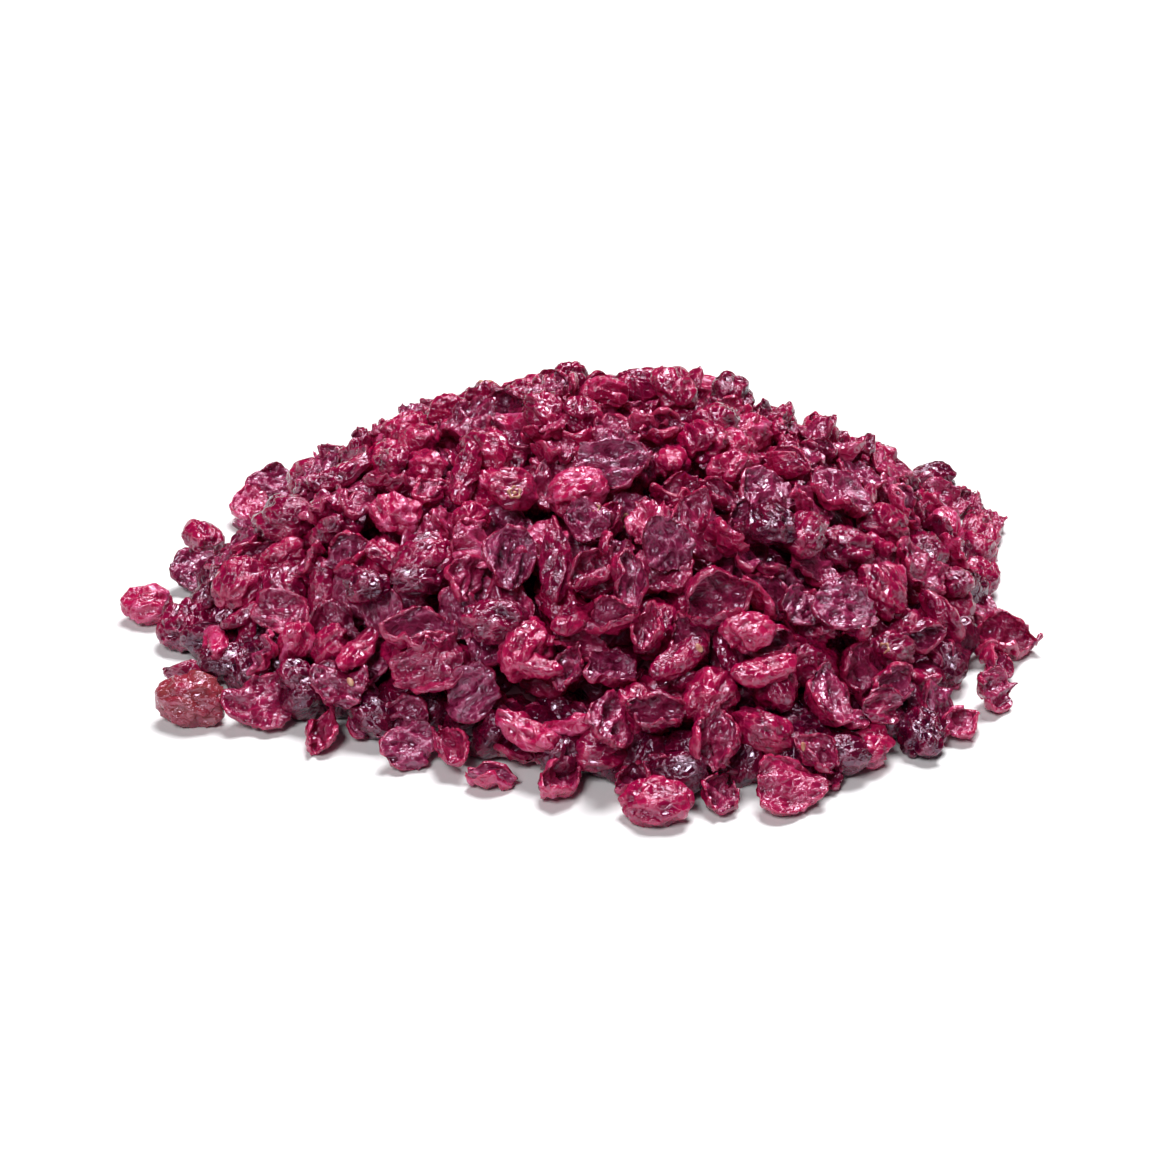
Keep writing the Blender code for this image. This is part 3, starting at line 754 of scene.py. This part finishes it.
balls = {parts: geodesic_ball(parts) for _, parts in FINENESS}
shown = np.bincount(heap.owner[heap.owner >= 0], minlength=len(heap.berries))
fineness = [next(parts for fewest, parts in FINENESS if cells >= fewest) for cells in shown]
chance = np.random.default_rng(SEED + 1)
tones = np.clip(chance.normal(TONE, TONE_SPREAD, len(heap.berries)), 0.0, LIGHTEST)
dulls = chance.uniform(0, 1, len(heap.berries))
for berry, tone in TONES_AT_FOOT.items():
    tones[berry] = tone
for berry, tone in TONES_ON_SLOPES.items():
    tones[berry - len(SLOPE_BERRIES)] = tone
brown = np.zeros(len(heap.berries))
brown[BROWN_BERRY] = 1
fruit = berry_material()
for kind in KINDS:
    of_kind = [n for n, berry in enumerate(heap.berries) if berry["kind"] == kind]
    total = sum(len(balls[fineness[n]][1]) for n in of_kind)
    pieces = math.ceil(total / MOST_TRIANGLES)
    for part in range(pieces):
        berries_piece(f"{kind}_berries_{part + 1}", of_kind[part::pieces], fruit)


# What lies right under the berries that show: more of them, too deep in shade to tell
# apart. A layer of rough whole berries in staggered rows stands for it, given a dark tone that is
# painted shade.
PACKED_APART = 9.5 * MM
PACKED_STRAY = 0.8 * MM
PACKED_LEAN = 0.5  # radians, spread of their tilt
PACKED_HALF = (6.5 * MM, 5.0 * MM, 4.2 * MM)
PACKED_LOWEST = 1.2  # height of the lowest ones' middles, in half thicknesses
PACKED_INSET = 9 * MM  # from the heap's reach to the outermost of them
# A dark tone for all of them, painted shade.
PACKED_SHADE_TONE = 0.12
PACKED_BALL = 4  # parts that their ball's edges are cut in

packed = np.random.default_rng(SEED + 2)
row_apart = PACKED_APART * math.sqrt(0.75)
rows = int(FIELD / row_apart)
under = []
for row in range(-rows, rows + 1):
    for place in range(-rows, rows + 1):
        x = (place + row % 2 / 2) * PACKED_APART + packed.normal(0, PACKED_STRAY)
        y = row * row_apart + packed.normal(0, PACKED_STRAY)
        yaw = packed.uniform(-math.pi, math.pi)
        lean = packed.normal(0, PACKED_LEAN, 2)
        if math.hypot(x, y) < reach(math.atan2(y, x)) - PACKED_INSET:
            half = np.array(PACKED_HALF)
            z = max(heap_form(x, y) - PACKED_DEPTH, half[2] * PACKED_LOWEST)
            turn = turn_matrix(yaw, *lean)
            under.append({"at": np.array([x, y, z]), "half": half, "turn": turn, "kind": "plump"})
first_under = len(heap.berries)
heap.berries.extend(under)
fineness.extend([PACKED_BALL] * len(under))
tones = np.append(tones, np.full(len(under), PACKED_SHADE_TONE))
dulls = np.append(dulls, np.zeros(len(under)))
brown = np.append(brown, np.zeros(len(under)))
berries_piece("packed_berries", range(first_under, len(heap.berries)), fruit)


# The heap's heart: packed fruit that no light reaches. A smooth mound, with its foot
# just over the floor, closes the view between the berries. Its dark purple to deep crimson
# colour is painted shade.
MOUND_RINGS = 24
MOUND_SIDES = 72
MOUND_INSET = 20 * MM  # from the heap's reach to the mound's foot
MOUND_LUMPS = 160  # to the metre, in its colour
MOUND_ROUGHNESS = 0.6

mound = bmesh.new()
rings = []
for ring in range(MOUND_RINGS):
    rings.append([])
    for side in range(MOUND_SIDES):
        way = 2 * math.pi * side / MOUND_SIDES
        out = (reach(way) - MOUND_INSET) * (1 - ring / MOUND_RINGS)
        x, y = out * math.cos(way), out * math.sin(way)
        z = max(heap_form(x, y) - PACKED_DEPTH, FLOOR_GAP)
        rings[ring].append(mound.verts.new((x, y, z)))
top = mound.verts.new((0, 0, HEAP_HEIGHT - PACKED_DEPTH))
foot = [mound.verts.new((v.co.x, v.co.y, FLOOR_GAP / 2)) for v in rings[0]]
for lower, upper in zip([foot] + rings[:-1], rings):
    for side in range(MOUND_SIDES):
        after = (side + 1) % MOUND_SIDES
        mound.faces.new((lower[side], lower[after], upper[after], upper[side]))
for side in range(MOUND_SIDES):
    mound.faces.new((rings[-1][side], rings[-1][(side + 1) % MOUND_SIDES], top))
mound.faces.new(list(reversed(foot)))
mesh = bpy.data.meshes.new("packed_fruit_shade")
mound.to_mesh(mesh)
mound.free()
mesh.shade_smooth()
dark, tree, surface = new_material("packed_fruit_shade")
place = node(tree, "ShaderNodeTexCoord", {}).outputs["Object"]
lumps = node(tree, "ShaderNodeTexVoronoi", {"Vector": place, "Scale": MOUND_LUMPS})
# Painted shade: dark purple to deep crimson, in lumps.
tone = mixed(tree, lumps.outputs["Distance"], DARK_PURPLE, DEEP_CRIMSON)
tree.links.new(tone, surface.inputs["Base Color"])
surface.inputs["Roughness"].default_value = MOUND_ROUGHNESS
mesh.materials.append(dark)
core = placed("packed_fruit_shade", mesh)
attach(core, "root")
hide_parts("cranberry_heap")


# Where its flower sat, a berry keeps a dry, lobed ring of sepals round a small
# dome. Few of them show, and some are broken. Some loose seeds have stuck to the
# sugared skins as well. Both are dry, pale and woody.
RINGS = (
    # place seen from above in mm, radius in mm, how far the ring is closed round
    (10.5, -30.2, 1.25, 1.0),
    (-13.5, -27.2, 1.15, 1.0),
    (61.5, -51.2, 0.95, 0.7),
    (4.0, -36.0, 0.8, 0.6),
    (-22.0, 47.0, 1.2, 1.0),
    (44.5, 38.0, 1.1, 0.8),
    (8.0, 78.0, 1.0, 1.0),
)
RING_ROUND = 30  # steps round a ring
RING_SECTION = 8  # sides of its section
RING_LOBES = 5
# In parts of the ring's radius.
LOBE_DEPTH = 0.14
LOBE_RISE = 0.10
RING_RISE = 0.12
RING_THICK = 0.30  # half through
RING_TALLER = 1.2  # its section's height over its width
BROKEN_END = 0.3  # thickness of a broken end, in that of the rest
BROKEN_TAPER = 6  # how fast the ring grows from it to the rest
DOME = (0.45, 0.45, 0.4)
# Places seen from above, in mm, and half sizes.
SEEDS = ((45.6, -80.4), (-48.0, -58.0), (24.0, -66.2), (-36.0, 60.0), (33.0, 66.0))
SEED_HALF = (1.05 * MM, 0.62 * MM, 0.42 * MM)
SEARCHED = 5 * MM  # how far from its place a thing may look for a spot that faces out
SEAT = 1.5 * MM  # how far round it the skin's slope counts
FACING = (0.6, 0.8)  # out to the front or the back of the heap, and up
LIGHT_BEIGE = (0.560, 0.310, 0.200, 1)
ROSY_BEIGE = (0.400, 0.130, 0.090, 1)
STAINS = 900  # to the metre
STAIN_SPAN = (0.35, 0.65)
PITS = 0.3 * MM
PITS_STRENGTH = 0.6
SEPAL_ROUGHNESS = 0.35


def set_on_berry(x, y):
    """The frame of a thing that lies on the berry at a place, where the skin faces out."""
    spot = heap.around(x, y, 0)
    number = heap.owner[spot].item()
    shape = balls[fineness[number]]
    points, _, _ = dried_berry(heap.berries[number], *shape, number)
    normals, _ = outward(points, shape[1])
    facing = (0, math.copysign(FACING[0], y), FACING[1])
    apart = np.linalg.norm(points - [x, y, heap.height[spot].item()], axis=1)
    best = np.argmax(normals @ facing - apart / SEARCHED)
    near = np.linalg.norm(points - points[best], axis=1) < SEAT
    up = Vector(normals[near].mean(axis=0)).normalized()
    place = Matrix.Translation(points[best]) @ up.to_track_quat("Z", "Y").to_matrix().to_4x4()
    return place @ Matrix.Rotation(x / MM, 4, "Z")


def add_ring(bits, frame, radius, closed):
    """A lobed ring round a dome, or an open one that tapers to its broken ends."""
    sections = []
    for step in range(RING_ROUND):
        way = 2 * math.pi * closed * step / RING_ROUND
        lobe = math.cos(RING_LOBES * way)
        from_end = min(step, RING_ROUND - 1 - step) / RING_ROUND
        taper = min(1, BROKEN_TAPER * from_end + BROKEN_END)
        thick = RING_THICK * (taper if closed < 1 else 1)
        sections.append([])
        for side in range(RING_SECTION):
            turn = 2 * math.pi * side / RING_SECTION
            across = 1 + LOBE_DEPTH * lobe + thick * math.cos(turn) * (0.9 + 0.2 * lobe)
            high = RING_RISE + LOBE_RISE * lobe + thick * RING_TALLER * math.sin(turn)
            corner = Vector((across * math.cos(way), across * math.sin(way), high)) * radius
            sections[-1].append(bits.verts.new(frame @ corner))
    pairs = list(zip(sections, sections[1:]))
    if closed == 1:
        pairs.append((sections[-1], sections[0]))
    else:
        bits.faces.new(list(reversed(sections[0])))
        bits.faces.new(sections[-1])
    for first, second in pairs:
        for side in range(RING_SECTION):
            after = (side + 1) % RING_SECTION
            bits.faces.new((first[side], first[after], second[after], second[side]))
    if closed == 1:
        dome = frame @ Matrix.Diagonal((*DOME, 1))
        bmesh.ops.create_icosphere(bits, subdivisions=2, radius=radius, matrix=dome)


bits = bmesh.new()
for x, y, radius, closed in RINGS:
    add_ring(bits, set_on_berry(x * MM, y * MM), radius * MM, closed)
for x, y in SEEDS:
    sunk = set_on_berry(x * MM, y * MM) @ Matrix.Translation((0, 0, SEED_HALF[2] / 2))
    oval = sunk @ Matrix.Diagonal((*SEED_HALF, 1))
    bmesh.ops.create_icosphere(bits, subdivisions=3, radius=1, matrix=oval)
bmesh.ops.recalc_face_normals(bits, faces=bits.faces)
mesh = bpy.data.meshes.new("rings_and_seeds")
bits.to_mesh(mesh)
bits.free()
mesh.shade_smooth()
dry, tree, surface = new_material("dry_sepals")
place = node(tree, "ShaderNodeTexCoord", {}).outputs["Object"]
stain = noise(tree, place, STAINS, 3).outputs["Fac"]
stained = {"Value": stain, "From Min": STAIN_SPAN[0], "From Max": STAIN_SPAN[1]}
stained = node(tree, "ShaderNodeMapRange", stained).outputs[0]
pitted = {"Height": stain, "Distance": PITS, "Strength": PITS_STRENGTH}
pitted = node(tree, "ShaderNodeBump", pitted).outputs["Normal"]
beige = mixed(tree, stained, LIGHT_BEIGE, ROSY_BEIGE)
tree.links.new(beige, surface.inputs["Base Color"])
tree.links.new(pitted, surface.inputs["Normal"])
surface.inputs["Roughness"].default_value = SEPAL_ROUGHNESS
mesh.materials.append(dry)
leavings = placed("rings_and_seeds", mesh)
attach(leavings, "root")
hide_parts("cranberry_heap")


# The pale surface that the heap lies on, and its backdrop: one wide level sheet of
# matt card, so that no edge or horizon shows.
FLOOR_SIZE = 6.0
FLOOR_WHITE = (0.86, 0.86, 0.87, 1)
FLOOR_ROUGHNESS = 0.7

sheet = bmesh.new()
bmesh.ops.create_grid(sheet, x_segments=1, y_segments=1, size=FLOOR_SIZE / 2)
mesh = bpy.data.meshes.new("floor")
sheet.to_mesh(mesh)
sheet.free()
floor = placed("floor", mesh)
card, tree, surface = new_material("pale_floor")
surface.inputs["Base Color"].default_value = FLOOR_WHITE
surface.inputs["Roughness"].default_value = FLOOR_ROUGHNESS
mesh.materials.append(card)


# Soft studio light: a broad light from above and behind, a weaker one from the front
# left, and a dim even surround, so that the gaps in the heap stay dark.
SURROUND = (0.90, 0.90, 1.0, 1)
SURROUND_STRENGTH = 0.03
LIGHTS = (
    # name, the way it comes from, its width in degrees, strength
    ("key_light", (0.12, 0.42, 1.0), 28, 4.0),
    ("front_light", (-0.35, -0.85, 0.95), 22, 1.75),
)

world = bpy.data.worlds.new("surround")
world.use_nodes = True
world.node_tree.nodes["Background"].inputs["Color"].default_value = SURROUND
world.node_tree.nodes["Background"].inputs["Strength"].default_value = SURROUND_STRENGTH
bpy.context.scene.world = world
for name, way, width, strength in LIGHTS:
    light = bpy.data.lights.new(name, "SUN")
    light.angle = math.radians(width)
    light.energy = strength
    lamp = placed(name, light)
    lamp.rotation_euler = Vector(way).to_track_quat("Z", "Y").to_euler()


# The camera: straight in front of the heap and a little above it, with a long lens.
AIM = Vector((0, 0, 8 * MM))
ELEVATION = math.radians(26)
DISTANCE = 0.70
SENSOR = 36.0  # mm
FOCAL_LENGTH = 97.8  # mm
NEAREST = 0.01

view = bpy.data.cameras.new("camera")
view.sensor_width = SENSOR
view.lens = FOCAL_LENGTH
view.clip_start = NEAREST
camera = placed("camera", view)
away = Vector((0, -math.cos(ELEVATION), math.sin(ELEVATION)))
camera.location = AIM + away * DISTANCE
camera.rotation_euler = away.to_track_quat("Z", "Y").to_euler()
bpy.context.scene.camera = camera
bpy.context.scene.view_settings.view_transform = "Standard"
